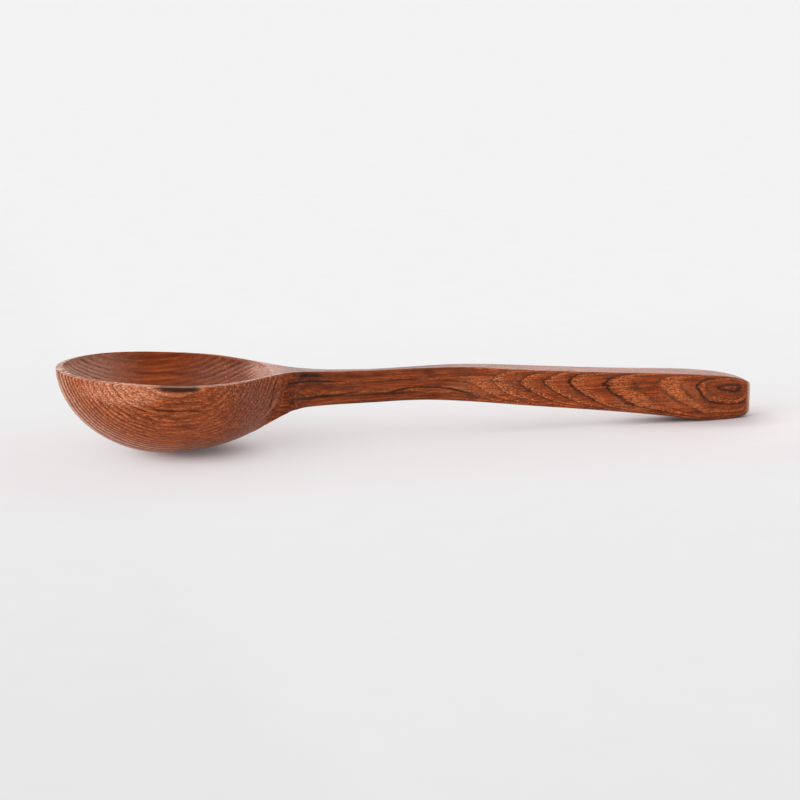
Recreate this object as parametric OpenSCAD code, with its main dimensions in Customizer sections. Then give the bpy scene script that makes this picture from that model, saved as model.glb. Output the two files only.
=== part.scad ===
// Wooden spoon, carved from one piece of open-grained wood.
// X runs from the bowl's tip to the handle's end, Z is up, and the spoon rests on the plane Z = 0
// under its bowl and under its heel. The origin is under the middle of its length.

/* [Overall] */
// Length from the bowl's tip to the handle's end
spoon_l = 180; // [150:1:230]

/* [Bowl] */
// Width of the bowl over its rim, at the widest place
bowl_w = 45; // [36:0.5:54]
// Distance from the tip to the end of the bowl's back
bowl_l = 60; // [52:0.5:70]
// Distance from the tip to the lowest place of the bowl
bowl_low_at = 26.5; // [23:0.5:34]
// Height of the rim above the table, at the tip
rim_front_h = 21.6; // [19:0.1:28]

/* [Hollow] */
// Thickness of the wall at the rim
rim_t = 1.6; // [1.2:0.1:3.5]
// How far the rim's inner edge stands above its outer edge
rim_rise = 0.2; // [0.05:0.05:0.5]
// Thickness of the wood under the middle of the hollow
floor_t = 2.8; // [1.6:0.1:5]
// Length of the flat deck between the hollow and the end of the bowl's back
deck_l = 7.4; // [4:0.1:14]

/* [Neck] */
// Distance from the tip to the narrowest place of the neck
neck_at = 78; // [74:0.5:90]
// Width of the neck
neck_w = 3.6; // [3:0.1:8]
// Height of the neck's top above the table
neck_top_h = 17.4; // [15:0.1:22]
// Height of the neck's underside above the table
neck_under_h = 9.1; // [6:0.1:12]

/* [Handle] */
// Width of the handle at its widest place
grip_w = 9; // [6:0.1:14]
// Width of the handle at its end, before the corners are rounded
end_w = 5.3; // [4.6:0.1:9]
// Height of the top edge of the end above the table
end_top_h = 9.1; // [7:0.1:12]
// Height of the bottom edge of the end above the table
end_under_h = 1.1; // [0.6:0.1:4]
// Distance from the handle's end back to the heel that it rests on
heel_to_end = 7.5; // [6:0.5:14]

/* [Edges and resting places] */
// Radius of the long edges of the neck and handle
edge_r = 0.9; // [0.3:0.1:1.4]
// Radius of the rim's outer edge
rim_edge_r = 0.4; // [0.1:0.05:0.6]
// Radius of the end's upright corners
end_corner_r = 2; // [1:0.1:2.2]
// Depth of wood taken off flat under the bowl and under the heel
rest_cut = 0.2; // [0.1:0.05:0.4]

/* [Hidden] */

// Middle of the hollow and of the bowl's front curve, and the hollow's half length and half width
hollow_half_l = (bowl_l - deck_l - rim_t) / 2;
hollow_half_w = bowl_w / 2 - rim_t;
bowl_mid = rim_t + hollow_half_l;
handle_l = spoon_l - neck_at;
heel_at = spoon_l - heel_to_end;

// Power of the bowl's front curve in side view, where 2 is an ellipse, and of the hollow's ramps
front_power = 1.89;
ramp_power = 2;

// The rim's and neck's top line: share of the way from the tip to the neck, share of the whole fall
rim_fall_shares = [
    [0, 0], [0.18, 0.13], [0.38, 0.37], [0.59, 0.52], [0.72, 0.69], [0.85, 0.89], [1, 1]
];
// The handle's top line: share of the way from the neck to the end, share of the whole fall
handle_fall_shares = [
    [0, 0], [0.2, 0], [0.28, 0.05], [0.41, 0.19], [0.61, 0.39], [0.8, 0.55], [0.9, 0.67], [0.96, 0.81],
    [1, 1]
];
// The bowl's back in side view: share of the way from the lowest place to the neck, share of the rise
back_rise_shares = [
    [0, 0], [0.05, 0.01], [0.12, 0.04], [0.22, 0.1], [0.34, 0.26], [0.42, 0.42], [0.5, 0.64],
    [0.58, 0.85], [0.65, 0.97], [0.74, 1], [1, 1]
];
// The handle's underside: share of the way from the neck to the heel, share of the fall
under_fall_shares = [
    [0, 0], [0.15, 0], [0.28, 0.1], [0.45, 0.3], [0.67, 0.57], [0.84, 0.81], [0.93, 0.96], [1, 1]
];
// The underside past the heel: share of the way to the end, share of the rise
toe_rise_shares = [[0, 0], [0.25, 0.06], [0.6, 0.32], [1, 1]];
// The bowl's back in plan: share of the way from the middle to the neck, share of the extra width
shoulder_shares = [
    [0, 1], [0.11, 0.97], [0.21, 0.89], [0.31, 0.75], [0.41, 0.53], [0.49, 0.34], [0.57, 0.17],
    [0.65, 0.07], [0.77, 0.02], [1, 0]
];
// The handle in plan: share of the way from the neck to the widest place, share of the widening
widening_shares = [
    [0, 0], [0.1, 0.02], [0.3, 0.41], [0.45, 0.74], [0.62, 0.79], [0.84, 0.84], [1, 1]
];
// The handle in plan past its widest place: share of the way to the end, share of the narrowing
narrowing_shares = [[0, 0], [0.3, 0.1], [0.65, 0.5], [1, 1]];
// How round the section's underside is, from a full ellipse at 1 to small corner radii at 0
roundness_shares = [[0, 1], [0.4, 1], [0.52, 0.8], [0.64, 0.3], [0.78, 0.05], [1, 0]];
// Place of the handle's widest place, as a share of the way from the neck to the end
widest_share = 0.81;

// Steps along the spoon and round its section
rim_steps = 4;
hollow_steps = 30;
shaft_steps = 46;
corner_steps = 4;
under_steps = 9;
edge_steps = 2;
dish_steps = 12;

// Half width of a blunt start as a share of the wall, and the most of a flat top that an edge takes
blunt_share = 0.5;
flat_share = 0.5;

// Slope of a table of points at point i, from its neighbours
function slope(line, i) =
    let (a = line[max(i - 1, 0)], b = line[min(i + 1, len(line) - 1)]) (b.y - a.y) / (b.x - a.x);

// Smooth curve through a table of points, read at x
function curve(line, x) =
    let (
        last = len(line) - 2,
        i = max([for (j = [0:last]) if (j == 0 || line[j].x <= x) j]),
        p = line[i],
        q = line[i + 1],
        step = q.x - p.x,
        t = min(max((x - p.x) / step, 0), 1),
        t2 = t * t,
        t3 = t2 * t
    )
    (2 * t3 - 3 * t2 + 1) * p.y + (t3 - 2 * t2 + t) * step * slope(line, i)
        + (3 * t2 - 2 * t3) * q.y + (t3 - t2) * step * slope(line, i + 1);

// Height of the top face at x
function top_h(x) =
    x <= neck_at
        ? rim_front_h + (neck_top_h - rim_front_h) * curve(rim_fall_shares, x / neck_at)
        : neck_top_h + (end_top_h - neck_top_h) * curve(handle_fall_shares, (x - neck_at) / handle_l);

// Depth of the bowl's front at x, as a share of its full depth
function front_share(x) = pow(1 - pow((bowl_low_at - x) / bowl_low_at, front_power), 1 / front_power);

// Height of the underside at x, before the resting places are cut flat
function under_h(x) =
    x <= bowl_low_at ? top_h(x) - max((top_h(x) + rest_cut) * front_share(x), rim_t)
    : x <= neck_at ? -rest_cut + (neck_under_h + rest_cut)
        * curve(back_rise_shares, (x - bowl_low_at) / (neck_at - bowl_low_at))
    : x <= heel_at ? neck_under_h - (neck_under_h + rest_cut)
        * curve(under_fall_shares, (x - neck_at) / (heel_at - neck_at))
    : -rest_cut + (end_under_h + rest_cut) * curve(toe_rise_shares, (x - heel_at) / heel_to_end);

// Half width in plan at x, with the end still square
widest_at = neck_at + handle_l * widest_share;
function plan_half_w(x) =
    x <= bowl_mid ? bowl_w / 2 * sqrt(max(1 - pow((bowl_mid - x) / bowl_mid, 2), 0))
    : x <= neck_at ? neck_w / 2 + (bowl_w - neck_w) / 2
        * curve(shoulder_shares, (x - bowl_mid) / (neck_at - bowl_mid))
    : x <= widest_at ? (neck_w + (grip_w - neck_w)
        * curve(widening_shares, (x - neck_at) / (widest_at - neck_at))) / 2
    : (grip_w + (end_w - grip_w)
        * curve(narrowing_shares, (x - widest_at) / (spoon_l - widest_at))) / 2;

// How far the rounded corner of the end has drawn the side in at x
function corner_in(x) =
    let (past = max(x - spoon_l + end_corner_r, 0))
    end_corner_r - sqrt(pow(end_corner_r, 2) - pow(past, 2));

// Half width at x, with a blunt start for the tip and rounded corners at the end
function half_w(x) = max(plan_half_w(x) - corner_in(x), rim_t * blunt_share);

// Roundness of the section's underside at x
function roundness(x) =
    x <= bowl_low_at ? 1
    : x >= neck_at ? 0
    : curve(roundness_shares, (x - bowl_low_at) / (neck_at - bowl_low_at));

// Radius of the top edge at x, which grows from the rim's to the handle's
function top_edge_r(x) = min(edge_r + (rim_edge_r - edge_r) * roundness(x), half_w(x) * flat_share);

// Half width of the hollow at x, closed round at both ends and held inside a wall of even thickness
function in_hollow(x) = x >= rim_t && x <= bowl_mid + hollow_half_l;
function hollow_share(x) = sqrt(max(1 - pow((x - bowl_mid) / hollow_half_l, 2), 0));
function side_slope(x) = (plan_half_w(x + rim_t) - plan_half_w(x - rim_t)) / (2 * rim_t);
function wall_w(x) = rim_t * sqrt(1 + pow(side_slope(x), 2));
function dish_half_w(x) =
    in_hollow(x)
        ? max(min(hollow_half_w * hollow_share(x), plan_half_w(x) - wall_w(x)), rim_t * blunt_share)
        : (half_w(x) - top_edge_r(x)) * flat_share;

// Depth of the hollow at x, which ramps down from both ends
hollow_d = top_h(bowl_mid) - floor_t;
function ramp_share(x) = in_hollow(x) ? 1 - pow(abs(x - bowl_mid) / hollow_half_l, ramp_power) : 0;
function dish_d(x) = hollow_d * ramp_share(x);

// Height of the hollow's edge at x, above the rim's outer edge until the deck begins
function dish_top_h(x) = top_h(x) + rim_rise * (in_hollow(x) && x <= bowl_mid ? 1 : ramp_share(x));

// The near half of the section at x, from the top edge down to the keel, as [y, z]
function near_half(x) =
    let (
        w = half_w(x),
        top = top_h(x),
        low = under_h(x),
        round_part = roundness(x),
        r = top_edge_r(x),
        corner_r = min(edge_r, w * flat_share),
        corner_w = corner_r + (w - corner_r) * round_part,
        corner_h = corner_r + (top - r - low - corner_r) * round_part
    )
    concat(
        [for (j = [0:edge_steps])
            let (a = 90 - 90 * j / edge_steps)
            [r - w - r * cos(a), top - r + r * sin(a)]],
        [for (j = [1:under_steps])
            let (a = 90 * (j - 0.5) / under_steps)
            [corner_w - w - corner_w * cos(a), low + corner_h - corner_h * sin(a)]],
        [[0, low]]
    );

// The closed section at x: near side down, far side up, then back across the top and the hollow
function mirrored(half) = [for (j = [len(half) - 2:-1:0]) [-half[j].x, half[j].y]];
function dish(x) = [
    for (j = [0:dish_steps])
        let (a = 180 * j / dish_steps)
        [dish_half_w(x) * cos(a), dish_top_h(x) - dish_d(x) * sin(a)]
];
function section(x) = let (half = near_half(x)) concat(half, mirrored(half), dish(x));

// Places of the sections along X, closer together at the tip and the end
stations = concat(
    [for (k = [0:rim_steps - 1]) rim_t * pow(k / rim_steps, 2)],
    [for (k = [0:hollow_steps]) bowl_mid - hollow_half_l * cos(180 * k / hollow_steps)],
    [for (k = [1:shaft_steps])
        bowl_mid + hollow_half_l
            + (spoon_l - end_corner_r - bowl_mid - hollow_half_l) * k / shaft_steps],
    [for (k = [1:corner_steps]) spoon_l - end_corner_r + end_corner_r * sin(90 * k / corner_steps)]
);

// One closed skin through all sections, planed flat where it would reach below the table
module skin() {
    rings = [for (x = stations) [for (p = section(x)) [x - spoon_l / 2, p.x, max(p.y, 0)]]];
    n = len(rings[0]);
    last = (len(rings) - 1) * n;
    tip_mid = [-spoon_l / 2, 0, (top_h(0) + under_h(0)) / 2];
    end_mid = [spoon_l / 2, 0, (end_top_h + end_under_h) / 2];
    sides = [
        for (i = [0:len(rings) - 2], j = [0:n - 1])
            let (a = i * n + j, b = i * n + (j + 1) % n)
            each [[a, b + n, b], [a, a + n, b + n]]
    ];
    tip = [for (j = [0:n - 1]) [last + n, j, (j + 1) % n]];
    end = [for (j = [0:n - 1]) [last + n + 1, last + (j + 1) % n, last + j]];
    points = concat([for (r = rings) each r], [tip_mid, end_mid]);
    polyhedron(points = points, faces = concat(sides, tip, end));
}

module spoon() {
    color("sienna") skin();
}

spoon();
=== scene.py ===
import math

import bpy
import numpy as np
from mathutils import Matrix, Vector


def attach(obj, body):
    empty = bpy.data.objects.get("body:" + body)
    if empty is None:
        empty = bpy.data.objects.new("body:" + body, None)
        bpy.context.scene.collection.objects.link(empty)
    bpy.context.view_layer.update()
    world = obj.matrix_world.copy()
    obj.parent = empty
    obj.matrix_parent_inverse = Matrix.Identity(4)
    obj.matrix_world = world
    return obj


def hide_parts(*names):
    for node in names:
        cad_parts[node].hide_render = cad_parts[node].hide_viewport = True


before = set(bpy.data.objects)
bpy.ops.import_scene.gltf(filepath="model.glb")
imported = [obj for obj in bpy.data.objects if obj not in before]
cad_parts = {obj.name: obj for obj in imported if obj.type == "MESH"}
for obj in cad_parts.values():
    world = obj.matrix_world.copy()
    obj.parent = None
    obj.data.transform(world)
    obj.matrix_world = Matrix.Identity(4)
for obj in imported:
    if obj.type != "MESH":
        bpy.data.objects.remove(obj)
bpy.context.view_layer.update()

MM = 0.001

# The spoon's form, in millimetres

# X runs from the bowl's tip at 0 to the handle's end, as in the solid. The mesh is moved to the
# frame's own origin when it is made.
SPOON_L = 180.0
BOWL_W = 45.0
BOWL_L = 60.0
BOWL_LOW_AT = 26.5
RIM_FRONT_H = 21.6
RIM_T = 1.6
RIM_RISE = 0.2
FLOOR_T = 2.8
DECK_L = 7.4
NECK_AT = 78.0
NECK_W = 3.6
NECK_TOP_H = 17.4
NECK_UNDER_H = 9.1
GRIP_W = 9.0
END_W = 5.3
END_TOP_H = 9.1
END_UNDER_H = 1.1
HEEL_TO_END = 7.5
EDGE_R = 0.9
RIM_EDGE_R = 0.4
END_CORNER_R = 2.0
REST_CUT = 0.2
FRONT_POWER = 1.89
RAMP_POWER = 2.0
WIDEST_SHARE = 0.81

HOLLOW_HALF_L = (BOWL_L - DECK_L - RIM_T) / 2
HOLLOW_HALF_W = BOWL_W / 2 - RIM_T
BOWL_MID = RIM_T + HOLLOW_HALF_L
HANDLE_L = SPOON_L - NECK_AT
HEEL_AT = SPOON_L - HEEL_TO_END
WIDEST_AT = NECK_AT + HANDLE_L * WIDEST_SHARE

# The lines of the form, as shares of a length and of a rise or a widening
RIM_FALL = [(0, 0), (0.18, 0.13), (0.38, 0.37), (0.59, 0.52), (0.72, 0.69), (0.85, 0.89), (1, 1)]
HANDLE_FALL = [
    (0, 0), (0.2, 0), (0.28, 0.05), (0.41, 0.19), (0.61, 0.39), (0.8, 0.55), (0.9, 0.67),
    (0.96, 0.81), (1, 1),
]
BACK_RISE = [
    (0, 0), (0.05, 0.01), (0.12, 0.04), (0.22, 0.1), (0.34, 0.26), (0.42, 0.42), (0.5, 0.64),
    (0.58, 0.85), (0.65, 0.97), (0.74, 1), (1, 1),
]
UNDER_FALL = [
    (0, 0), (0.15, 0), (0.28, 0.1), (0.45, 0.3), (0.67, 0.57), (0.84, 0.81), (0.93, 0.96), (1, 1),
]
TOE_RISE = [(0, 0), (0.25, 0.06), (0.6, 0.32), (1, 1)]
SHOULDER = [
    (0, 1), (0.11, 0.97), (0.21, 0.89), (0.31, 0.75), (0.41, 0.53), (0.49, 0.34), (0.57, 0.17),
    (0.65, 0.07), (0.77, 0.02), (1, 0),
]
WIDENING = [(0, 0), (0.1, 0.02), (0.3, 0.41), (0.45, 0.74), (0.62, 0.79), (0.84, 0.84), (1, 1)]
NARROWING = [(0, 0), (0.3, 0.1), (0.65, 0.5), (1, 1)]
ROUNDNESS = [(0, 1), (0.4, 1), (0.52, 0.8), (0.64, 0.3), (0.78, 0.05), (1, 0)]


def curve(line, x):
    """Smooth curve through a table of points, with each point's slope taken from its neighbours."""
    xs, ys = np.array(line, float).T
    k = np.arange(len(xs))
    a, b = np.maximum(k - 1, 0), np.minimum(k + 1, len(xs) - 1)
    slope = (ys[b] - ys[a]) / (xs[b] - xs[a])
    i = np.clip(np.searchsorted(xs, x, side="right") - 1, 0, len(xs) - 2)
    step = xs[i + 1] - xs[i]
    t = np.clip((x - xs[i]) / step, 0, 1)
    return (
        (2 * t**3 - 3 * t**2 + 1) * ys[i] + (t**3 - 2 * t**2 + t) * step * slope[i]
        + (3 * t**2 - 2 * t**3) * ys[i + 1] + (t**3 - t**2) * step * slope[i + 1]
    )


def part_way(x, start, end):
    """How far x is on its way from start to end, from 0 to 1."""
    return np.clip((x - start) / (end - start), 0, 1)


def ease(x, start, end):
    """The same with a smooth start and finish."""
    t = part_way(x, start, end)
    return t * t * (3 - 2 * t)


def top_h(x):
    """Height of the top face."""
    front = RIM_FRONT_H + (NECK_TOP_H - RIM_FRONT_H) * curve(RIM_FALL, x / NECK_AT)
    back = NECK_TOP_H + (END_TOP_H - NECK_TOP_H) * curve(HANDLE_FALL, (x - NECK_AT) / HANDLE_L)
    return np.where(x <= NECK_AT, front, back)


def under_h(x):
    """Height of the underside, before the resting places are planed flat."""
    top = top_h(x)
    u = np.clip((BOWL_LOW_AT - x) / BOWL_LOW_AT, 0, 1)
    front = top - np.maximum((top + REST_CUT) * (1 - u**FRONT_POWER) ** (1 / FRONT_POWER), RIM_T)
    rise = curve(BACK_RISE, (x - BOWL_LOW_AT) / (NECK_AT - BOWL_LOW_AT))
    fall = curve(UNDER_FALL, (x - NECK_AT) / (HEEL_AT - NECK_AT))
    toe = curve(TOE_RISE, (x - HEEL_AT) / HEEL_TO_END)
    back = -REST_CUT + (NECK_UNDER_H + REST_CUT) * rise
    shaft = NECK_UNDER_H - (NECK_UNDER_H + REST_CUT) * fall
    end = -REST_CUT + (END_UNDER_H + REST_CUT) * toe
    handle = np.where(x <= HEEL_AT, shaft, end)
    return np.where(x <= BOWL_LOW_AT, front, np.where(x <= NECK_AT, back, handle))


def plan_half_w(x):
    """Half width in plan, with the end still square."""
    front = BOWL_W / 2 * np.sqrt(np.maximum(1 - ((BOWL_MID - x) / BOWL_MID) ** 2, 0))
    shoulder = curve(SHOULDER, (x - BOWL_MID) / (NECK_AT - BOWL_MID))
    back = NECK_W / 2 + (BOWL_W - NECK_W) / 2 * shoulder
    grip = NECK_W + (GRIP_W - NECK_W) * curve(WIDENING, (x - NECK_AT) / (WIDEST_AT - NECK_AT))
    end = GRIP_W + (END_W - GRIP_W) * curve(NARROWING, (x - WIDEST_AT) / (SPOON_L - WIDEST_AT))
    handle = np.where(x <= WIDEST_AT, grip / 2, end / 2)
    return np.where(x <= BOWL_MID, front, np.where(x <= NECK_AT, back, handle))


def half_w(x):
    """Half width, with a blunt tip and the end's upright corners rounded."""
    past = np.maximum(x - SPOON_L + END_CORNER_R, 0)
    drawn_in = END_CORNER_R - np.sqrt(np.maximum(END_CORNER_R**2 - past**2, 0))
    return np.maximum(plan_half_w(x) - drawn_in, RIM_T / 2)


def roundness(x):
    """How round the section's underside is, from an ellipse at 1 to small corners at 0."""
    mid = curve(ROUNDNESS, (x - BOWL_LOW_AT) / (NECK_AT - BOWL_LOW_AT))
    return np.where(x <= BOWL_LOW_AT, 1, np.where(x >= NECK_AT, 0, mid))


# The mesh

# Radius of the hollow's edge along the sides and at the tip, the most of the rim that it takes, and
# the radius above which it is worn
INNER_EDGE_R = 0.16
TIP_EDGE_R = 0.75
EDGE_SHARE = 0.6
WORN_FROM_R = 0.02
# Where that edge widens towards the tip, and where it widens towards the deck
TIP_WIDENS = (18, 4)
DECK_WIDENS = (38, 50)
# How far the hollow's edge is eased where it meets the deck
DECK_EASE = 0.7
# Length over which the hollow's front half passes into its back half, how soft the back half's bend
# is, and the width given back for what that bend takes away
HOLLOW_JOIN_L = 8.0
HOLLOW_BEND = 0.5
HOLLOW_WIDER = 0.3
# Radii of the long edges of the end's face and of the neck's lower corners
END_EDGE_R = 0.7
NECK_CORNER_R = 0.9
# Half width of the neck's flat sides where they run into the bowl's round back
NECK_MOST_W = 5.35
# How far the neck's underside stays above the lowest line, along X, where it comes out of the bowl
NECK_INSET = [
    (40, 9), (43, 1.2), (44, 0.96), (48.5, 0.81), (50, 0.92), (51.5, 0.87), (55, 0.86), (57, 0.74),
    (59, 0.24), (63, 0.08),
]
# The least share of its depth that the neck keeps there
NECK_LEAST = 0.3
# Where the section's points turn from the round form to the flat-sided one
TURNS_FLAT = (50, 59)
# How softly the two forms join, and where that begins and ends
NECK_JOIN = 0.12
NECK_JOIN_IN = (49, 51)
NECK_JOIN_OUT = (63, 60)
# How much less worn the bowl's rim is than the handle's edges
RIM_LESS_WORN = 0.85
# How worn the sides of the neck and handle are, and where that begins
SIDES_WORN, SIDES_WORN_FROM = 0.8, 58

# How much closer together the hollow's sections lie at its two ends, from 0 for evenly spaced to 1
CROWDED = 0.7
# Length of the stretch behind the hollow where the sections lie closer than along the handle
JOINT_L = 12.0
# Steps along the spoon and round its section
RIM_STEPS, HOLLOW_STEPS, JOINT_STEPS, SHAFT_STEPS, CORNER_STEPS = 12, 150, 80, 350, 20
EDGE_STEPS, SIDE_STEPS, INNER_STEPS, DISH_STEPS = 6, 28, 6, 56


def steps(count):
    """Even shares that end at 1."""
    return np.arange(1, count + 1) / count


def stations():
    """Places of the sections along X, closer together about the hollow's ends and at the handle's."""
    rim = RIM_T * (np.arange(RIM_STEPS) / RIM_STEPS) ** 2
    t = np.concatenate([[0], steps(HOLLOW_STEPS)])
    eased = 0.5 - 0.5 * np.cos(np.pi * t)
    hollow = RIM_T + 2 * HOLLOW_HALF_L * (CROWDED * eased + (1 - CROWDED) * t)
    joint = hollow[-1] + JOINT_L * steps(JOINT_STEPS)
    shaft = joint[-1] + (SPOON_L - END_CORNER_R - joint[-1]) * steps(SHAFT_STEPS)
    corner = SPOON_L - END_CORNER_R + END_CORNER_R * np.sin(np.pi / 2 * steps(CORNER_STEPS))
    return np.concatenate([rim, hollow, joint, shaft, corner])


def outline(x):
    """Half width, top and underside, drawn in at the end's face, and the top edge's radius."""
    w = half_w(x)
    past = part_way(x, SPOON_L - END_EDGE_R, SPOON_L)
    drawn_in = END_EDGE_R * (1 - np.sqrt(1 - past**2))
    r = np.minimum(EDGE_R + (RIM_EDGE_R - EDGE_R) * roundness(x), w / 2)
    return w, top_h(x) - drawn_in, under_h(x) + drawn_in, r


def box_reach(across, down, w, d, r):
    """How far a ray from the middle of the top goes inside a flat-sided section with round corners."""
    side, floor = w / np.maximum(across, 1e-9), d / np.maximum(down, 1e-9)
    cx, cz = w - r, d - r
    toward = cx * across + cz * down
    corner = toward + np.sqrt(np.maximum(toward**2 - cx**2 - cz**2 + r**2, 0))
    on_side, on_floor = side * down <= cz, floor * across <= cx
    return np.where(on_side, side, np.where(on_floor, floor, corner))


def below_edge(x, w, deep):
    """Points under the top edge, as distances out and down: the bowl's round section or the neck's
    flat-sided one, whichever reaches further."""
    flat_w = np.minimum(w, NECK_MOST_W)
    flat_d = np.maximum(deep - np.interp(x, *np.array(NECK_INSET).T), deep * NECK_LEAST)
    r = np.minimum(NECK_CORNER_R, w / 2)
    turn = np.radians(90 * (np.arange(SIDE_STEPS) + 0.5) / SIDE_STEPS)[None]
    round_at = np.arctan2(deep * np.sin(turn), w * np.cos(turn))
    flat_out, flat_down = flat_w - r + r * np.cos(turn), flat_d - r + r * np.sin(turn)
    flat_at = np.arctan2(flat_down, np.maximum(flat_out, 1e-6))
    at = round_at + (flat_at - round_at) * ease(x, *TURNS_FLAT)
    across, down = np.cos(at), np.sin(at)
    round_reach = 1 / np.sqrt((across / w) ** 2 + (down / deep) ** 2)
    flat_reach = box_reach(across, down, flat_w, flat_d, r)
    soft = NECK_JOIN * part_way(x, *NECK_JOIN_IN) * part_way(x, *NECK_JOIN_OUT)
    reach = (round_reach + flat_reach + np.sqrt((round_reach - flat_reach) ** 2 + soft**2)) / 2
    return reach * across, reach * down


def near_half(x, w, top, low, r):
    """The near side of each section from the top edge to the keel, as Y and Z, and how worn it is."""
    edge = np.radians(90 - 90 * np.arange(EDGE_STEPS + 1) / EDGE_STEPS)[None]
    out, down = below_edge(x, w, top - r - low)
    y = np.concatenate([r - w - r * np.cos(edge), -out, 0 * w], 1)
    z = np.concatenate([top - r + r * np.sin(edge), np.maximum(top - r - down, low), low], 1)
    worn_edge = np.repeat(1 - RIM_LESS_WORN * roundness(x), EDGE_STEPS + 1, 1)
    worn_side = np.repeat((x > SIDES_WORN_FROM) * SIDES_WORN, SIDE_STEPS, 1)
    return y, z, np.concatenate([worn_edge, worn_side, 0 * w], 1)


def hollow_half_w(x, t):
    """Half width of the hollow, closed round at both ends and held inside an even wall."""
    slope = (plan_half_w(x + RIM_T) - plan_half_w(x - RIM_T)) / (2 * RIM_T)
    held = plan_half_w(x) - RIM_T * np.sqrt(1 + slope**2)
    free = HOLLOW_HALF_W * np.sqrt(1 - t**2)
    front = np.minimum(free, held)
    back = (free + held) / 2 - np.sqrt(((free - held) / 2) ** 2 + HOLLOW_BEND**2) + HOLLOW_WIDER
    half = front + (back - front) * part_way(x, BOWL_MID, BOWL_MID + HOLLOW_JOIN_L)
    return np.maximum(half, RIM_T / 2)


def dish(x, w, top, r):
    """The hollow across each section, as Y and Z, how worn its edge is, and how much is its skin."""
    t = (x - BOWL_MID) / HOLLOW_HALF_L
    inside = (x >= RIM_T - 1e-9) & (t <= 1 + 1e-9)
    t = np.clip(t, -1, 1)
    half = np.where(inside, hollow_half_w(x, t), (w - r) / 2)
    ramp = np.where(inside, 1 - np.abs(t) ** RAMP_POWER, 0)
    edge_h = top + RIM_RISE * np.where(inside & (x <= BOWL_MID), 1, ramp)
    at_deck = ease(x, *DECK_WIDENS)
    widened = np.maximum(ease(x, *TIP_WIDENS), at_deck)
    depth = (top_h(np.array(BOWL_MID)) - FLOOR_T) * ramp
    depth = depth**2 / np.maximum(depth + DECK_EASE * at_deck * (1 - ramp), 1e-9)
    inner = INNER_EDGE_R + (TIP_EDGE_R - INNER_EDGE_R) * widened
    inner = np.minimum(np.minimum(inner, depth / 2), (w - r - half) * EDGE_SHARE)
    inner = np.maximum(inner, 0)

    arc = np.radians(90 * np.arange(INNER_STEPS) / INNER_STEPS)[None]
    bowl = np.radians(180 * np.arange(DISH_STEPS + 1) / DISH_STEPS)[None]
    edge_y, edge_z = half + inner - inner * np.sin(arc), edge_h - inner + inner * np.cos(arc)
    bowl_y, bowl_z = half * np.cos(bowl), edge_h - inner - (depth - inner) * np.sin(bowl)
    worn = np.repeat((inner > WORN_FROM_R) * (1 - widened), INNER_STEPS, 1)
    bevel = np.repeat(inside * widened, INNER_STEPS, 1) * np.linspace(1, 0, INNER_STEPS)
    return (
        np.concatenate([edge_y, bowl_y, -edge_y[:, ::-1]], 1),
        np.concatenate([edge_z, bowl_z, edge_z[:, ::-1]], 1),
        np.concatenate([worn, 0 * bowl_y, worn], 1),
        np.concatenate([bevel[:, ::-1], inside * np.ones_like(bowl_y), bevel], 1),
    )


def rings(x):
    """Closed sections at the places x, as Y and Z, and two marks: worn edges and the hollow's skin."""
    x = x[:, None]
    w, top, low, r = outline(x)
    y, z, worn = near_half(x, w, top, low, r)
    dish_y, dish_z, dish_worn, dish_skin = dish(x, w, top, r)
    y = np.concatenate([y, -y[:, -2::-1], dish_y], 1)
    z = np.concatenate([z, z[:, -2::-1], dish_z], 1)
    worn = np.concatenate([worn, worn[:, -2::-1], dish_worn], 1)
    outer = np.zeros((len(x), y.shape[1] - dish_y.shape[1]))
    return y, np.maximum(z, 0), worn, np.concatenate([outer, dish_skin], 1)


def weigh_normals(mesh, points, quads, caps):
    """Normals weighted by area keep the flat faces flat beside their small rounded edges."""
    normals = np.zeros((len(points), 3))
    for faces in (quads, *caps):
        p = points[faces]
        # From a face's diagonals, or from two sides where it has three corners
        twice_area = np.cross(p[:, 2] - p[:, 0], p[:, -1] - p[:, 1])
        for corner in faces.T:
            np.add.at(normals, corner, twice_area)
    size = np.linalg.norm(normals, axis=1, keepdims=True)
    normals = np.where(size > 0, normals / np.maximum(size, 1e-30), [0, 0, 1])
    mesh.normals_split_custom_set_from_vertices(normals.tolist())


def spoon_mesh():
    """One closed skin through all sections, with an end cap fanned from the middle of each end."""
    x = stations()
    y, z, worn, skin = rings(x)
    count, around = y.shape
    points = np.stack([np.repeat(x[:, None] - SPOON_L / 2, around, 1), y, z], 2).reshape(-1, 3)
    points = np.concatenate([points, [points[:around].mean(0), points[-around:].mean(0)]]) * MM
    here = np.arange(count * around).reshape(count, around)
    after = np.roll(here, -1, axis=1)
    quads = np.stack([here[:-1], here[1:], after[1:], after[:-1]], 2).reshape(-1, 4)
    middle = np.full(around, count * around)
    tip = np.stack([middle, here[0], after[0]], 1)
    end = np.stack([middle + 1, after[-1], here[-1]], 1)
    mesh = bpy.data.meshes.new("spoon")
    mesh.from_pydata(points.tolist(), [], quads.tolist() + tip.tolist() + end.tolist())
    mesh.validate()
    for name, values in (("worn", worn), ("hollow", skin)):
        mark = mesh.attributes.new(name, "FLOAT", "POINT")
        mark.data.foreach_set("value", np.concatenate([values.ravel(), [0, 0]]).astype(np.float32))
    mesh.shade_smooth()
    weigh_normals(mesh, points, quads, (tip, end))
    return mesh


# Small helpers for shader trees

def arithmetic(operation, swapped=False):
    """A method of Value that runs one operation of the math node."""

    def method(value, other=None):
        pair = (other, value) if swapped else (value, other)
        return value.tree.math(operation, *pair)

    return method


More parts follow.
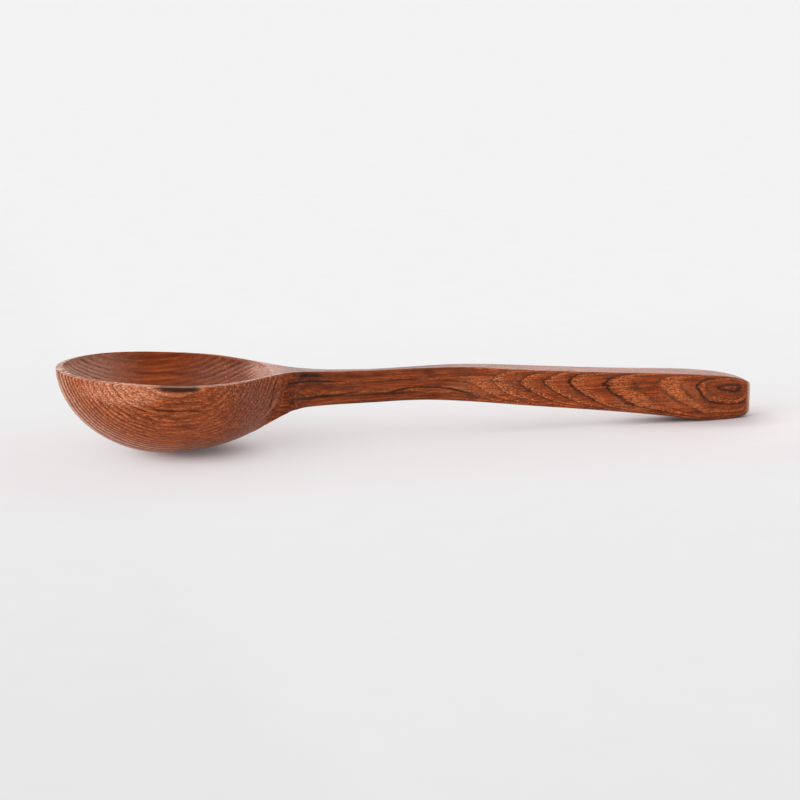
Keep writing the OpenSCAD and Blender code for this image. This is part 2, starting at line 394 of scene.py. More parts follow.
class Value:
    """A value in a shader tree, for use in plain expressions."""

    def __init__(self, tree, out):
        self.tree, self.out = tree, out

    __add__, __radd__ = arithmetic("ADD"), arithmetic("ADD", swapped=True)
    __sub__, __rsub__ = arithmetic("SUBTRACT"), arithmetic("SUBTRACT", swapped=True)
    __mul__, __rmul__ = arithmetic("MULTIPLY"), arithmetic("MULTIPLY", swapped=True)
    abs, sqrt = arithmetic("ABSOLUTE"), arithmetic("SQRT")
    floor, fract = arithmetic("FLOOR"), arithmetic("FRACT")
    least, most, power = arithmetic("MINIMUM"), arithmetic("MAXIMUM"), arithmetic("POWER")

    def __neg__(self):
        return self * -1.0


class Tree:
    """Builds the shader nodes of a material or a world."""

    def __init__(self, owner):
        owner.use_nodes = True
        self.nodes, self.links = owner.node_tree.nodes, owner.node_tree.links
        self.nodes.clear()

    def put(self, socket, value):
        """Links a value to a socket, or writes a plain number or colour into it."""
        if isinstance(value, Value):
            self.links.new(value.out, socket)
        elif value is not None:
            socket.default_value = value

    def node(self, kind, **settings):
        node = self.nodes.new("ShaderNode" + kind)
        for name, value in settings.items():
            setattr(node, name, value)
        return node

    def math(self, operation, a, b=None):
        node = self.node("Math", operation=operation)
        for socket, value in zip(node.inputs, (a, b)):
            self.put(socket, value)
        return Value(self, node.outputs[0])

    def vector(self, x, y, z):
        node = self.node("CombineXYZ")
        for socket, value in zip(node.inputs, (x, y, z)):
            self.put(socket, value)
        return Value(self, node.outputs[0])

    def object_place(self):
        """X, Y and Z on the object."""
        split = self.node("SeparateXYZ")
        self.links.new(self.node("TexCoord").outputs["Object"], split.inputs[0])
        return tuple(Value(self, out) for out in split.outputs)

    def noise(self, vector, scale=1.0, detail=2.0, roughness=0.5):
        node = self.node("TexNoise", noise_dimensions="3D")
        self.put(node.inputs["Vector"], vector)
        for name, value in (("Scale", scale), ("Detail", detail), ("Roughness", roughness)):
            node.inputs[name].default_value = value
        return Value(self, node.outputs[0])

    def cells(self, vector):
        """Distance to the nearest of points strewn about one to the unit."""
        node = self.node("TexVoronoi", voronoi_dimensions="3D", feature="F1")
        self.put(node.inputs["Vector"], vector)
        node.inputs["Scale"].default_value = 1.0
        return Value(self, node.outputs["Distance"])

    def chance(self, value):
        """A random number for each whole value."""
        node = self.node("TexWhiteNoise", noise_dimensions="1D")
        self.put(node.inputs["W"], value)
        return Value(self, node.outputs["Value"])

    def mark(self, name):
        """A mark that the mesh carries at its points."""
        return Value(self, self.node("Attribute", attribute_name=name).outputs["Fac"])

    def ramp(self, value, start, end, low=0.0, high=1.0, smooth=True):
        """Passes from low, where value is at start, to high, where it is at end."""
        kind = "SMOOTHSTEP" if smooth else "LINEAR"
        node = self.node("MapRange", interpolation_type=kind, clamp=True)
        for socket, item in zip(node.inputs, (value, start, end, low, high)):
            self.put(socket, item)
        return Value(self, node.outputs[0])

    def through(self, value, points, low, high):
        """A curve of value through the given points, whose heights lie between low and high."""
        node = self.node("FloatCurve")
        line = node.mapping.curves[0]
        start, length = points[0][0], points[-1][0] - points[0][0]
        scaled = [((x - start) / length, (y - low) / (high - low)) for x, y in points]
        line.points[0].location, line.points[-1].location = scaled[0], scaled[-1]
        for point in scaled[1:-1]:
            line.points.new(*point)
        node.mapping.update()
        self.put(node.inputs["Value"], (value - start) * (1 / length))
        return Value(self, node.outputs[0]) * (high - low) + low

    def mix(self, share, a, b, blend="MIX"):
        node = self.node("Mix", data_type="RGBA", blend_type=blend)
        self.put(node.inputs[0], share)
        self.put(node.inputs[6], a)
        self.put(node.inputs[7], b)
        return Value(self, node.outputs[2])

    def tinted(self, colour, tint):
        return self.mix(1.0, colour, tint, "MULTIPLY")

    def output(self, shader, kind="OutputMaterial"):
        self.links.new(shader.outputs[0], self.node(kind).inputs[0])


# The wood's grain, in millimetres

# Distance from one growth ring to the next
RING = 1.05

# The bowl's rings: how they lean with height, how much the other way in the hollow, and their shift
# in it
BOWL_LEAN, HOLLOW_LEAN, HOLLOW_SHIFT = 0.333, 1.43, 0.31
# Depths at which they begin to be cut edgewise and are so in full, and how far across that reaches
CUT_EDGEWISE, EDGEWISE_ACROSS = (17.5, 13.0), (6.0, 0.0)
# The depth below which they lie closer together, how much closer, and how far down that goes on
CLOSER_BELOW, CLOSER_BY, CLOSER_MOST = 17.0, 0.05, 9.5
# How much wider apart they lie in the hollow, and their shift outside it
HOLLOW_SPREAD, OUTSIDE_SHIFT = 0.38, 0.5

# The neck's and the handle's rings: how they lean with height in the neck, the number of rings
# inside the crest, and how fast the arches bend round beside the lowest line
NECK_LEAN, RINGS_BELOW, BENDS_ROUND = 0.34, 6.5, 0.36

# Lines of the arches in the handle's grain along X: the height of their tips, how many rings have
# come to the side's skin, and how fast the lines fall away above and below their tips
TIP_LINE = [
    (52, 14.4), (62, 14.6), (72, 14.3), (84, 14.3), (95, 14.1), (105, 13.8), (117, 13.0),
    (123, 12.65), (129.4, 12.3), (139, 11.45), (152, 10.8), (163.5, 9.5), (169.7, 8.9), (177, 8.2),
    (180, 7.8),
]
CREST = [
    (52, 0.0), (95, 0.2), (110, 1.3), (116.7, 2.0), (123, 3.0), (129.4, 4.0), (139, 5.0), (152, 6.0),
    (163.3, 7.0), (169.6, 8.0), (173.4, 8.22), (177.1, 8.0), (178.5, 7.0), (180, 5.6),
]
FALL_UP = [
    (52, 0.14), (116, 0.15), (125.6, 0.17), (131, 0.11), (141, 0.09), (155, 0.08), (165, 0.15),
    (171, 0.26), (180, 0.26),
]
FALL_DOWN = [
    (52, 0.11), (116, 0.11), (128, 0.112), (133, 0.09), (138, 0.068), (142, 0.036), (147, 0.036),
    (151, 0.041), (158, 0.053), (163.7, 0.06), (168, 0.09), (171, 0.112), (180, 0.12),
]
FALL_POWER = 1.5
# How far the near side is from the middle plane, along X
SIDE_AT = [
    (52, 8.9), (54, 7.0), (56, 5.4), (58, 4.25), (60, 3.4), (62, 2.85), (65, 2.4), (70, 2.0),
    (78, 1.8), (88, 2.0), (97, 2.5), (106, 3.15), (112, 3.5), (117, 3.74), (129, 3.88), (139, 3.96),
    (154, 4.25), (162, 4.5), (170, 3.97), (175.5, 3.28), (180, 2.7),
]
# The lowest line of the near side, beside which the arches bend round and run on lengthwise
LOW_LINE = [
    (98, 9.0), (110, 7.7), (120, 6.5), (130, 5.3), (139, 4.2), (150, 2.6), (160, 1.0), (167, 0.2),
    (180, 0.0),
]
BESIDE_LOW_LINE = 2.3
# How bold the line of each ring is along the handle, by the ring's number
BOLD_RINGS = [
    (6, 0.7), (8, 0.5), (9, 0.75), (10, 0.75), (11, 1), (12, 1), (13, 0.55), (14, 1), (15, 1),
    (17, 0.8),
]

# Dark streaks on the near side, as points, half thickness and strength: those that run along the
# spoon, with points along X and Z, and those that stand upright, with points along Z and X
LONG_STREAKS = [
    ([(20.4, 20.35), (24.5, 20.0), (28, 19.7), (32.6, 19.7)], 0.68, 0.95),
    ([(20.4, 14.95), (22.8, 14.7), (26, 14.35)], 0.28, 0.92),
    ([(28.5, 14.35), (30, 14.2), (31.9, 13.9)], 0.26, 0.85),
    ([(7.8, 17.1), (8.7, 16.4), (9.7, 15.45)], 0.26, 0.90),
    ([(58.4, 17.45), (62, 17.25), (66.4, 16.8)], 0.50, 0.95),
    ([(54.6, 15.8), (60.1, 15.95), (70, 15.05)], 0.30, 0.95),
    ([(55.5, 11.9), (62.2, 11.6), (70.6, 12.0), (77.8, 12.7)], 0.28, 0.80),
    (
        [
            (79.5, 11.1), (84.2, 12.0), (88.1, 12.6), (91.4, 12.72), (97, 12.2), (100.9, 11.3),
            (107, 9.5),
        ],
        0.30, 0.95,
    ),
]
UPRIGHT_STREAKS = [
    ([(9.4, 50.9), (13.4, 51.5), (16.9, 52.4), (18.6, 52.9)], 0.26, 0.8),
    ([(13.0, 54.2), (18.4, 55.1)], 0.22, 0.7),
]
# The streak on the hollow's far wall, along X and Z
INNER_STREAK = [(18, 16.7), (22, 15.7), (26, 15.1), (30, 14.9), (36, 15.1)]

# Soft spots on the near side, as X, Z, their half sizes and strength: where flecks, dark tone and
# pores gather, and where the ring lines are faint
FLECKED = [
    (13.5, 18.9, 9, 3, 1), (106, 12.2, 9, 2.6, 0.45), (147, 5.6, 7, 2.6, 0.3), (159, 7, 6, 4, 0.28),
]
DARKENED = [
    (57.5, 12.2, 3, 1.3, 0.28), (60.5, 15.6, 5.5, 1.5, 0.42), (56.3, 15.3, 1.8, 1.2, 0.28),
    # Partly the wood's dark streaks and partly painted shade in the crease where the bowl's back turns
    # into the neck
    (47, 11, 9, 9, 0.28),
]
PORED = [(48.5, 14, 6.5, 6.5, 1), (8, 15, 7, 7, 0.5)]
CALM = [(29, 11, 14, 8, 1), (40, 8, 11, 7, 0.8), (20, 6, 9, 4, 0.4)]
# Squared distances from a spot's middle, in its half sizes, where it begins and where it is full
SPOT_FADES = (1.6, 0.3)

# Stretches along X over which one look of the wood comes in
HOLLOW_FADES = (52.8, 50.2)
NECK_BEGINS = (53.5, 57)
HANDLE_BEGINS = (98, 114)
JOINT_BEGINS, JOINT_ENDS = (52.4, 53.8), (58.4, 56.8)
EDGEWISE_FADES = (44, 22)
BOWL_TIP = (20, 4)
HOLLOW_FRONT, HOLLOW_BACK = (18, 9), (34, 44)
MOTTLED_BEGINS, MOTTLED_ENDS = (35, 42), (50.5, 48.5)
FAINT_LINES = (138, 144)
WIDE_LINES = (158, 166)
FEW_FLECKS = (128, 146)
# Painted shade over the hollow's back half
PAINTED_SHADE_IN_HOLLOW = (29, 40)
# Painted sheen at the hollow's two ends, which are painted paler and greyer as if their shallow slopes
# caught the light
PAINTED_SHEEN_FRONT, PAINTED_SHEEN_BACK = (27, 7), (45.5, 52)
# Where the hollow runs out into the deck: painted sheen in streaks, like the deck's
LIP_SHEEN_SPAN = (48, 51.5)
PALE_GRAIN_FADES = (38, 28)
DARK_END = (158, 172)
END_FACE = (178.1, 179.3)

# The wood's colours
DEEP_RED = (0.180, 0.028, 0.0050, 1)
WARM_RED = (0.500, 0.102, 0.0190, 1)
EVEN_RED = (0.380, 0.078, 0.0150, 1)
LATE_WOOD = (0.140, 0.025, 0.0055, 1)
PALE_BOWL = (0.720, 0.250, 0.1000, 1)
PALE_HANDLE = (0.600, 0.190, 0.0660, 1)
HOLLOW_DEEP = (0.180, 0.032, 0.0065, 1)
HOLLOW_WARM = (0.380, 0.072, 0.0100, 1)
# Painted shade for the hollow's back half
HOLLOW_PAINTED_SHADE = (0.090, 0.026, 0.0130, 1)
# Painted sheen for the hollow's ends
HOLLOW_ENDS_PAINTED_SHEEN = (0.520, 0.270, 0.1900, 1)
# Painted sheen where the hollow meets the deck
LIP_PAINTED_SHEEN = (0.700, 0.450, 0.3700, 1)
OPEN_GRAIN = (0.860, 0.400, 0.2400, 1)
FADED_GRAIN = (0.700, 0.400, 0.3000, 1)
FIBRE = (0.080, 0.014, 0.0045, 1)
NECK_STREAK = (0.070, 0.013, 0.0035, 1)
NECK_SHADE = (0.120, 0.024, 0.0060, 1)
FLECKED_WOOD = (0.640, 0.235, 0.1200, 1)
END_GRAIN = (0.640, 0.370, 0.2600, 1)
HANDLE_FLECK = (0.640, 0.240, 0.1200, 1)
PIT = (0.040, 0.009, 0.0038, 1)
DARK_SPOT = (0.060, 0.013, 0.0050, 1)
RING_LINE = (0.022, 0.006, 0.0030, 1)
PORE = (0.035, 0.009, 0.0045, 1)
STREAK = (0.014, 0.005, 0.0030, 1)
WORN_WOOD = (0.560, 0.220, 0.1100, 1)
# The neck and handle are darker, and their grain is in stronger contrast
HANDLE_GAMMA = 1.35
HANDLE_TINT = (1.30, 1.75, 1.92, 1)
# The finish, with the faint sheen that rubbing gives, and the fine relief's strength and depth
FINISH = {
    "Specular IOR Level": 0.13, "Sheen Weight": 0.30, "Sheen Roughness": 0.22,
    "Sheen Tint": (1.0, 0.94, 0.82, 1),
}
RELIEF = 0.9
RELIEF_D = 0.14


class Wood:
    """The looks of one piece of wood. Each method adds to them, in this order: the place and the
    noises, the rings, their lines, the pores and flecks, the streaks, the colour and the relief."""

    def __init__(self, tree):
        self.t = t = tree
        x, self.y, self.z = (v * (1 / MM) for v in t.object_place())
        self.x = x + SPOON_L / 2
        self.near = t.ramp(self.y, -1.0, -1.6)
        self.skin = t.mark("hollow")
        self.hollow = self.skin * t.ramp(self.x, *HOLLOW_FADES)
        self.outside = 1.0 - self.hollow
        self.neck = t.ramp(self.x, *NECK_BEGINS)
        self.handle = t.ramp(self.x, *HANDLE_BEGINS)
        # The bowl's rings and the neck's pass into each other
        self.joint = t.ramp(self.x, *JOINT_BEGINS) * t.ramp(self.x, *JOINT_ENDS)
        self.mottled = t.ramp(self.x, *MOTTLED_BEGINS) * t.ramp(self.x, *MOTTLED_ENDS) * self.outside
        ends = t.ramp(self.x, *HOLLOW_FRONT) + t.ramp(self.x, *HOLLOW_BACK)
        self.ends = ends.least(1.0) * self.hollow
        self.calm, self.flecked = self.spots(CALM), self.spots(FLECKED)
        self.slow = self.grain(0.035, 0.16) - 0.5
        self.fine = self.grain(0.22, 0.8, detail=3.0) - 0.5
        self.ragged = self.grain(1.1, 2.6, detail=3.0) - 0.5
        self.fibre = self.grain(0.18, 3.4, detail=4.0, roughness=0.65)

    def grain(self, along, across, upright=None, **kind):
        """Noise by its waves to the millimetre along the spoon, across it and upright."""
        upright = across if upright is None else upright
        place = self.t.vector(self.x * along, self.y * across, self.z * upright)
        return self.t.noise(place, **kind)

    def spots(self, table):
        """Soft spots on the near side."""
        total = None
        for x, z, half_x, half_z, strength in table:
            far = ((self.x - x) * (1 / half_x)).power(2.0) + ((self.z - z) * (1 / half_z)).power(2.0)
            spot = self.t.ramp(far, *SPOT_FADES, 0.0, strength)
            total = spot if total is None else total.most(spot)
        return total * self.near

    def sheets(self):
        """Depth through the bowl's rings: near flat sheets along the spoon, which lean one way in
        the wood outside the hollow and the other way at its far wall."""
        sheets = self.z * (BOWL_LEAN - self.hollow * HOLLOW_LEAN) - self.y + self.hollow * HOLLOW_SHIFT
        # On the near side of the tip and under it the rings are cut edgewise, and lie closer together
        edgewise = self.t.ramp(sheets, *CUT_EDGEWISE) * self.outside
        edgewise = edgewise * self.t.ramp(self.x, *EDGEWISE_FADES)
        self.edgewise = edgewise * self.t.ramp(self.y, *EDGEWISE_ACROSS)
        closer = (CLOSER_BELOW - sheets).most(0.0).least(CLOSER_MOST).power(2.0)
        sheets = sheets + closer * self.outside * CLOSER_BY
        return sheets * (1.0 - self.hollow * HOLLOW_SPREAD) + self.outside * OUTSIDE_SHIFT

    def shells(self):
        """Depth through the handle's rings, which bend round the grain's middle line and rise
        towards a crest near the end, so that they draw arches and a closed eye on the sides."""
        t, x = self.t, self.x
        off = self.z - t.through(x, TIP_LINE, 0, 20)
        fall_up = off.most(0.0).power(FALL_POWER) * t.through(x, FALL_UP, 0, 0.3)
        fall_down = (-off).most(0.0).power(FALL_POWER) * t.through(x, FALL_DOWN, 0, 0.3)
        beside = (t.through(x, LOW_LINE, 0, 10) + BESIDE_LOW_LINE - self.z).most(0.0)
        shape = t.through(x, CREST, 0, 10) - fall_up - fall_down - beside.power(2.0) * BENDS_ROUND
        shape = shape * self.handle + off * (NECK_LEAN - self.handle * NECK_LEAN)
        return (shape + RINGS_BELOW) * RING - self.y - t.through(x, SIDE_AT, 0, 10)

    def add_rings(self):
        """Counts the growth rings. Phase runs from 0 to 1 through each."""
        sheets, shells = self.sheets(), self.shells()
        depth = sheets + (shells - sheets) * self.neck
        depth = depth + self.slow * (1.5 - self.neck * 0.5 - self.handle * 0.6)
        depth = depth + self.fine * (0.28 - self.handle * 0.12)
        depth = depth + self.ragged * (0.17 + self.handle * 0.12)
        count = depth * (1 / RING) + 0.5
        self.phase, self.nearest = count.fract(), (count + 0.5).floor()
        self.odd = self.t.chance(self.nearest)
        # The shift gives the pale bands random numbers of their own
        self.odd_pale = self.t.chance(count.floor() + 37.0)

    def add_lines(self):
        """Each ring: a thin dark line, pale flecked wood beside it, then smooth wood that darkens."""
        t, x, phase, hollow, handle = self.t, self.x, self.phase, self.hollow, self.handle
        bold = t.through(self.nearest, BOLD_RINGS, 0, 1)
        width = 0.20 - self.neck * 0.09 + handle * (bold * 0.05 - 0.03)
        width = width + self.edgewise * 0.10 + hollow * 0.16 + t.ramp(x, *WIDE_LINES) * 0.05
        line = t.ramp(phase, 0.95, 1.0).most(1.0 - t.ramp(phase, width * 0.35, width))
        patchy = t.ramp(self.grain(0.16, 0.5), 0.36, 0.60, 0.22, 1.0).most(self.edgewise * 0.80)
        strong = t.ramp(self.odd, 0.0, 1.0, 0.35, 1.0, smooth=False).most(self.edgewise * 0.80)
        strong = strong + (bold - strong) * handle
        # In the middle of the hollow only a few rings show as dark lines
        strong = strong * (1.0 - (hollow - self.ends) * (1.0 - self.odd.power(4.0)))
        self.broken = t.ramp(self.grain(0.45, 0.7), 0.33, 0.47)
        line = line * (patchy + handle * 0.5).least(1.0) * strong
        line = line * (1.0 - hollow * (0.45 - self.ends * 0.45))
        line = line * (1.0 - hollow * (1.0 - self.broken)) * (1.0 - self.joint * 0.9)
        # Near the handle's end fainter lines run between the bold ones
        faint = t.ramp((phase - 0.55).abs(), 0.11, 0.02) * t.ramp(x, *FAINT_LINES) * patchy
        line = line.most(faint * 0.55)
        line = line * (0.85 + handle * 0.15 + t.ramp(x, *BOWL_TIP) * 0.15).least(1.0)
        self.line = line * (1.0 - self.mottled * 0.6 - self.calm * 0.70)
        fades_from = width * 1.3
        pale = t.ramp(phase, width * 0.7, fades_from)
        pale = pale * (1.0 - t.ramp(phase, fades_from + 0.10, fades_from + 0.42))
        self.pale = pale * (1.0 - self.joint * 0.85)
        self.late = t.ramp(phase, 0.45, 1.0) * (1.0 - self.joint) * (1.0 - self.calm * 0.60)

    def add_pores_and_flecks(self):
        t, hollow, handle, mottled = self.t, self.hollow, self.handle, self.mottled
        # Pores: short dark grooves along the grain, thickest beside the ring lines
        cells = t.cells(t.vector(self.x * 0.5, self.y * 2.4, self.z * 2.4))
        wide = t.ramp(self.grain(0.5, 1.4), 0.35, 0.7, 0.14, 0.38)
        many = (self.pale * 0.4 + 0.25 + self.spots(PORED) * 0.6 + mottled * 0.3).least(1.0)
        self.pores = (1.0 - t.ramp(cells, wide * 0.5, wide)) * many * (1.0 - hollow * 0.75)
        # Soft tissue: short pale flecks and dark pits, thickest beside the ring lines
        tissue = self.grain(1.7, 3.3, detail=2.0, roughness=0.6)
        open_wood = self.pale * (0.25 + self.neck * 0.55) + 0.16 + handle * 0.10
        open_wood = (open_wood + self.flecked * 0.7 + mottled * 0.25).least(1.0)
        closed = hollow * (0.90 - self.ends * 0.62) + self.neck * (1.0 - handle) * 0.75
        open_wood = open_wood * (1.0 - closed)
        open_wood = open_wood * (1.0 - t.ramp(self.x, *FEW_FLECKS) * 0.38 - self.calm * 0.35)
        self.flecks = t.ramp(tissue, 0.52, 0.65) * open_wood
        self.pits = t.ramp(tissue, 0.48, 0.37) * open_wood * (1.0 - self.flecked * 0.45)

    def add_streaks(self):
        t, wobble, streaks = self.t, self.ragged * 0.5, None
        ways = ((LONG_STREAKS, self.x, self.z), (UPRIGHT_STREAKS, self.z, self.x))
        for table, along, across in ways:
            for points, half, strength in table:
                start, end = points[0][0], points[-1][0]
                off = [point[1] for point in points]
                path = t.through(along, points, min(off) - 1, max(off) + 1)
                gap = (across - path + wobble).abs() * (1 / half)
                from_mid = (along - (start + end) / 2).abs()
                reach = t.ramp(from_mid, (end - start) / 2, (end - start) * 0.28)
                one = t.ramp(gap, 1.3, 0.3) * reach * strength
                streaks = one if streaks is None else streaks.most(one)
        gap = (self.z - t.through(self.x, INNER_STREAK, 14, 17) + wobble).abs()
        start, end = INNER_STREAK[0][0], INNER_STREAK[-1][0]
        reach = t.ramp((self.x - (start + end) / 2).abs(), (end - start) / 2, 5.0)
        inner = t.ramp(gap, 0.75, 0.10) * t.ramp(self.y, 1.0, 3.0) * reach
        self.streaks = (streaks * self.near * self.outside).most(inner * self.hollow * 0.38)

    def colour(self):
        t, x, hollow, neck, handle = self.t, self.x, self.hollow, self.neck, self.handle
        streak = self.grain(0.04, 1.5, detail=3.0, roughness=0.6)
        cloud = self.grain(0.05, 0.09)
        broad = self.grain(0.035, 0.25, 0.75, detail=3.0)
        slender = neck * (1.0 - handle)
        paler = 0.80 - neck * 0.40 - self.mottled * 0.5 - self.calm * 0.55
        paler = self.pale * paler * (self.odd_pale * 0.6 + 0.4).most(self.edgewise)
        # Painted sheen: the hollow's shallow ends are painted paler and greyer
        painted_sheen = t.ramp(x, *PAINTED_SHEEN_FRONT) * 0.80 + t.ramp(x, *PAINTED_SHEEN_BACK) * 0.38
        # Painted sheen in streaks where the hollow runs out into the deck
        lip_sheen = self.skin * t.ramp(x, *LIP_SHEEN_SPAN) * t.ramp(self.fibre, 0.60, 0.42, 0.25, 1.0)
        pale_ends = self.pale * self.ends * (0.20 + self.broken * 0.38)
        pale_ends = pale_ends * t.ramp(x, *PALE_GRAIN_FADES, 0.15, 1.0)
        fibres = t.ramp(self.fibre, 0.43, 0.62) * (0.72 - hollow * 0.40 - handle * 0.14)
        end_face = t.ramp(x, *END_FACE)
        uneven = t.ramp(self.grain(0.4, 0.4, detail=3.0), 0.3, 0.65, 0.35, 1.0)
        self.worn = t.mark("worn") * uneven

        colour = t.mix(t.ramp(streak, 0.37, 0.63), DEEP_RED, WARM_RED)
        # Layers over that ground, from the bottom one up
        for share, layer in (
            (t.ramp(cloud, 0.35, 0.65) * 0.5, EVEN_RED),
            (self.late * 0.45, LATE_WOOD),
            (paler, t.mix(neck, PALE_BOWL, PALE_HANDLE)),
            (hollow * 0.80, t.mix(t.ramp(broad, 0.36, 0.62), HOLLOW_DEEP, HOLLOW_WARM)),
            # Painted shade over the back half of the hollow
            (t.ramp(x, *PAINTED_SHADE_IN_HOLLOW) * hollow * 0.62, HOLLOW_PAINTED_SHADE),
            (painted_sheen * hollow, HOLLOW_ENDS_PAINTED_SHEEN),
            (lip_sheen * 0.60, LIP_PAINTED_SHEEN),
            (self.pale * self.edgewise * 0.45, OPEN_GRAIN),
            (pale_ends, FADED_GRAIN),
            (fibres, FIBRE),
            (t.ramp(streak, 0.54, 0.40) * slender * 0.50, NECK_STREAK),
            (slender * 0.30 + t.ramp(x, *DARK_END) * 0.12, NECK_SHADE),
            (self.flecked * 0.45, FLECKED_WOOD),
            (end_face * 0.88, END_GRAIN),
            (self.flecks * 0.80, t.mix(neck, OPEN_GRAIN, HANDLE_FLECK)),
            (self.pits * 0.85, PIT),
            # Dark spots: the wood's smudges, and in the crease behind the bowl partly painted shade
            (self.spots(DARKENED) * 0.85, DARK_SPOT),
            (self.line * (0.96 - end_face * 0.45), RING_LINE),
            (self.pores * 0.80, PORE),
            (self.streaks * 0.95, STREAK),
            (self.worn * 0.14, WORN_WOOD),
        ):
            colour = t.mix(share, colour, layer)
        deeper = t.node("Gamma")
        t.put(deeper.inputs[0], colour)
        deeper.inputs[1].default_value = HANDLE_GAMMA
        return t.mix(neck, colour, t.tinted(Value(t, deeper.outputs[0]), HANDLE_TINT))

    def relief(self):
        """Height of the fine relief: open pores and lines, and the waves that carving left."""
        height = self.fibre * 0.25 - self.pores * 0.9 - self.line * 0.30 + self.flecks * 0.15
        height = height - self.pits * 0.4 - self.streaks * 0.5
        return height + self.grain(0.09, 0.22) * 1.5

    def roughness(self):
        return 0.36 + self.fibre * 0.12 + self.pores * 0.22 + self.line * 0.05 - self.worn * 0.06


def teak_type_wood():
    """Open-grained wood with a satin, hand-rubbed finish."""
    material = bpy.data.materials.new("teak_type_wood")
    t = Tree(material)
    wood = Wood(t)
    wood.add_rings()
    wood.add_lines()
    wood.add_pores_and_flecks()
    wood.add_streaks()
    bump = t.node("Bump")
    bump.inputs["Strength"].default_value = RELIEF
    bump.inputs["Distance"].default_value = RELIEF_D * MM
    shader = t.node("BsdfPrincipled")
    t.put(shader.inputs["Base Color"], wood.colour())
    t.put(shader.inputs["Roughness"], wood.roughness())
    t.put(bump.inputs["Height"], wood.relief())
    t.links.new(bump.outputs[0], shader.inputs["Normal"])
    for name, value in FINISH.items():
        shader.inputs[name].default_value = value
    t.output(shader)
    return material


spoon = bpy.data.objects.new("spoon_wood", spoon_mesh())
bpy.context.collection.objects.link(spoon)
spoon.data.materials.append(teak_type_wood())
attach(spoon, "root")
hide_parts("spoon")

# The floor, in metres

FLOOR_HALF = 12.0
FLOOR_DARK = (0.738, 0.738, 0.742, 1)
FLOOR_PALE = (0.758, 0.758, 0.762, 1)
# The floor is a little darker towards the viewer, along Y: painted shade
NEAR_FLOOR_PAINTED_SHADE = (0.91, 0.91, 0.91, 1)
NEAR_FLOOR_SHADE_FADES = (-0.26, 0.15)
# Beside the spoon the floor is tinted a little red, a painted reflection of light off the wood, by the
# distance from a line along X
RED_BOUNCE_TINT = (1.0, 0.950, 0.955, 1)
RED_BOUNCE_HALF_L, RED_BOUNCE_Y = 0.08, -0.008
RED_BOUNCE_FADES = (0.060, 0.012)
# How much the floor glows away from the spoon, and how bright that glow is
GLOW_SHARE = 0.60
GLOW = 1.15
# How much more it glows from the bowl's middle to its tip and beyond, and where that comes in
GLOWS_MORE = 0.25
TOWARDS_TIP = (-0.063, -0.085)
# Places without that glow: X, Y, inner and outer radius, and the share of glow that is left
CONTACTS = ((-0.0555, -0.004, 0.003, 0.021, 0.10), (0.082, -0.008, 0.014, 0.036, 0.0))
# Painted shadows, where the floor is darker at the bowl's and the heel's contacts: X, Y, half length
# and tone
PAINTED_CONTACT_SHADOWS = ((-0.0595, -0.003, 0.011, 0.93), (0.082, -0.005, 0.018, 0.80))
PAINTED_SHADOW_STRETCH = 0.55


def pale_floor():
    """A pale floor that glows a little, apart from where the spoon touches it, so that its shadows
    stay tight. It carries painted shadows at the bowl and the heel, painted shade towards the viewer
    and a painted red reflection beside the spoon."""
    material = bpy.data.materials.new("pale_floor")
    t = Tree(material)
    x, y, z = t.object_place()

    def apart(at_x, at_y, stretch=1.0):
        return (((x - at_x) * stretch).power(2.0) + (y - at_y).power(2.0)).sqrt()

    speckle = t.noise(t.vector(x, y, z), scale=90.0, detail=3.0)
    colour = t.mix(speckle, FLOOR_DARK, FLOOR_PALE)
    # Painted shade towards the viewer
    nearer = t.tinted(colour, NEAR_FLOOR_PAINTED_SHADE)
    colour = t.mix(t.ramp(y, *NEAR_FLOOR_SHADE_FADES, smooth=False), nearer, colour)
    # Painted red reflection of the wood beside the spoon
    beside = (x.abs() - RED_BOUNCE_HALF_L).most(0.0).power(2.0) + (y - RED_BOUNCE_Y).power(2.0)
    colour = t.mix(t.ramp(beside.sqrt(), *RED_BOUNCE_FADES), colour, t.tinted(colour, RED_BOUNCE_TINT))
    # Painted shadows under the bowl and the heel
    for at_x, at_y, half, tone in PAINTED_CONTACT_SHADOWS:
        darker = t.tinted(colour, (tone, tone * 0.985, tone * 0.99, 1))
        share = t.ramp(apart(at_x, at_y, PAINTED_SHADOW_STRETCH), half * 0.62, half * 0.08)
        colour = t.mix(share, colour, darker)
    glowing = None
    for at_x, at_y, inner, outer, least in CONTACTS:
        share = t.ramp(apart(at_x, at_y), inner, outer, least, GLOW_SHARE)
        glowing = share if glowing is None else glowing.least(share)
    glowing = glowing + t.ramp(x, *TOWARDS_TIP) * GLOWS_MORE

    plain, glow, both = (t.node(kind) for kind in ("BsdfDiffuse", "Emission", "MixShader"))
    t.put(plain.inputs["Color"], colour)
    t.put(glow.inputs["Color"], colour)
    glow.inputs["Strength"].default_value = GLOW
    t.put(both.inputs[0], glowing)
    t.links.new(plain.outputs[0], both.inputs[1])
    t.links.new(glow.outputs[0], both.inputs[2])
    t.output(both)
    return material


floor_mesh = bpy.data.meshes.new("floor")
floor_corners = [(x * FLOOR_HALF, y * FLOOR_HALF, 0) for x, y in ((-1, -1), (1, -1), (1, 1), (-1, 1))]
floor_mesh.from_pydata(floor_corners, [], [(0, 1, 2, 3)])
floor = bpy.data.objects.new("floor", floor_mesh)
bpy.context.collection.objects.link(floor)
floor.data.materials.append(pale_floor())

# The light

ROOM_COLOUR = (1.0, 0.985, 0.985, 1)
ROOM_LIGHT = 0.80
# A bright soft wall behind the spoon gives its top faces their sheen
WALL_WAY = (0.237, 0.942, 0.237)
WALL_EDGE, WALL_MIDDLE = 0.86, 0.985
WALL_LIGHT = 2.60
SUN_COLOUR = (1.0, 0.99, 0.98)
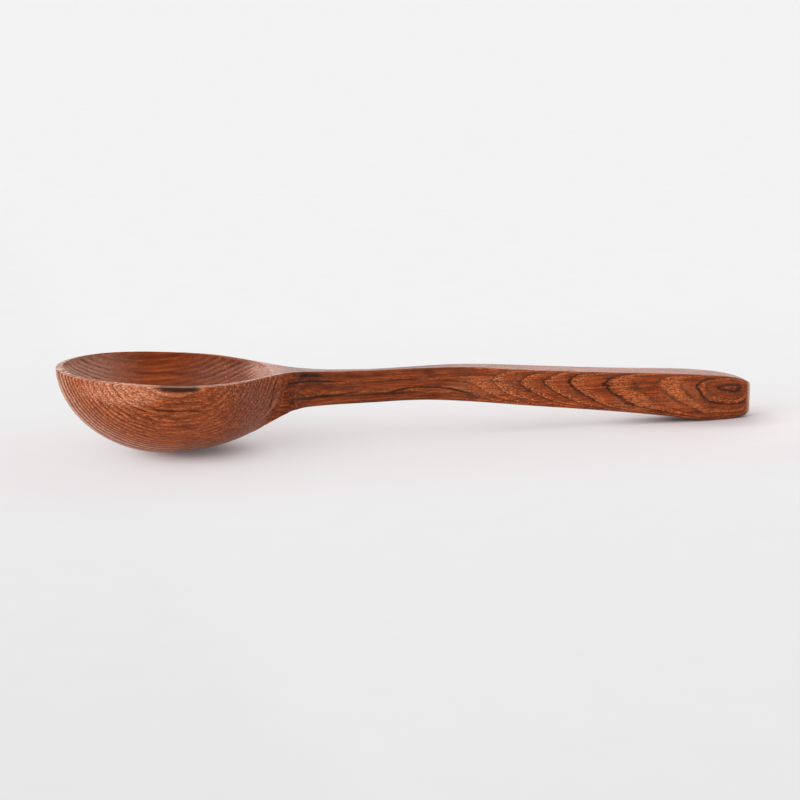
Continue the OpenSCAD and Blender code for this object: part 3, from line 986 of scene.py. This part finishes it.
# The suns: the way that each lies, its strength and its spread in degrees
SUNS = {"key": ((-0.7, -0.2, 1.0), 0.95, 70), "left": ((-1.0, -0.35, 0.35), 1.60, 50)}

world = bpy.data.worlds.new("soft_white")
bpy.context.scene.world = world
room = Tree(world)
toward = room.node("VectorMath", operation="DOT_PRODUCT")
room.links.new(room.node("TexCoord").outputs["Generated"], toward.inputs[0])
toward.inputs[1].default_value = WALL_WAY
facing = Value(room, toward.outputs["Value"])
background = room.node("Background")
background.inputs[0].default_value = ROOM_COLOUR
room.put(background.inputs[1], room.ramp(facing, WALL_EDGE, WALL_MIDDLE, ROOM_LIGHT, WALL_LIGHT))
room.output(background, "OutputWorld")

for name, (way, strength, spread) in SUNS.items():
    light = bpy.data.lights.new(name, "SUN")
    light.energy, light.color, light.angle = strength, SUN_COLOUR, math.radians(spread)
    lamp = bpy.data.objects.new(name, light)
    lamp.location = way
    lamp.rotation_mode = "QUATERNION"
    lamp.rotation_quaternion = (-Vector(way)).to_track_quat("-Z", "Y")
    bpy.context.collection.objects.link(lamp)

# The camera

PICTURE_PX = 800
FOCAL_PX = 2379.244
SENSOR_MM = 36.0
CAMERA_AZIMUTH, CAMERA_ELEVATION = math.radians(-14.118), math.radians(12.736)
CAMERA_TARGET = Vector((-0.004011, 0.0, 0.009165))
CAMERA_DISTANCE = 0.6

camera_data = bpy.data.cameras.new("camera")
camera_data.sensor_width = SENSOR_MM
camera_data.lens = FOCAL_PX / PICTURE_PX * SENSOR_MM
camera_data.clip_start, camera_data.clip_end = 0.01, 50.0
camera = bpy.data.objects.new("camera", camera_data)
bpy.context.collection.objects.link(camera)
back = Vector((
    math.sin(CAMERA_AZIMUTH) * math.cos(CAMERA_ELEVATION),
    -math.cos(CAMERA_AZIMUTH) * math.cos(CAMERA_ELEVATION),
    math.sin(CAMERA_ELEVATION),
))
camera.location = CAMERA_TARGET + back * CAMERA_DISTANCE
camera.rotation_mode = "QUATERNION"
camera.rotation_quaternion = (-back).to_track_quat("-Z", "Y")
bpy.context.scene.camera = camera
bpy.context.scene.view_settings.view_transform = "Standard"
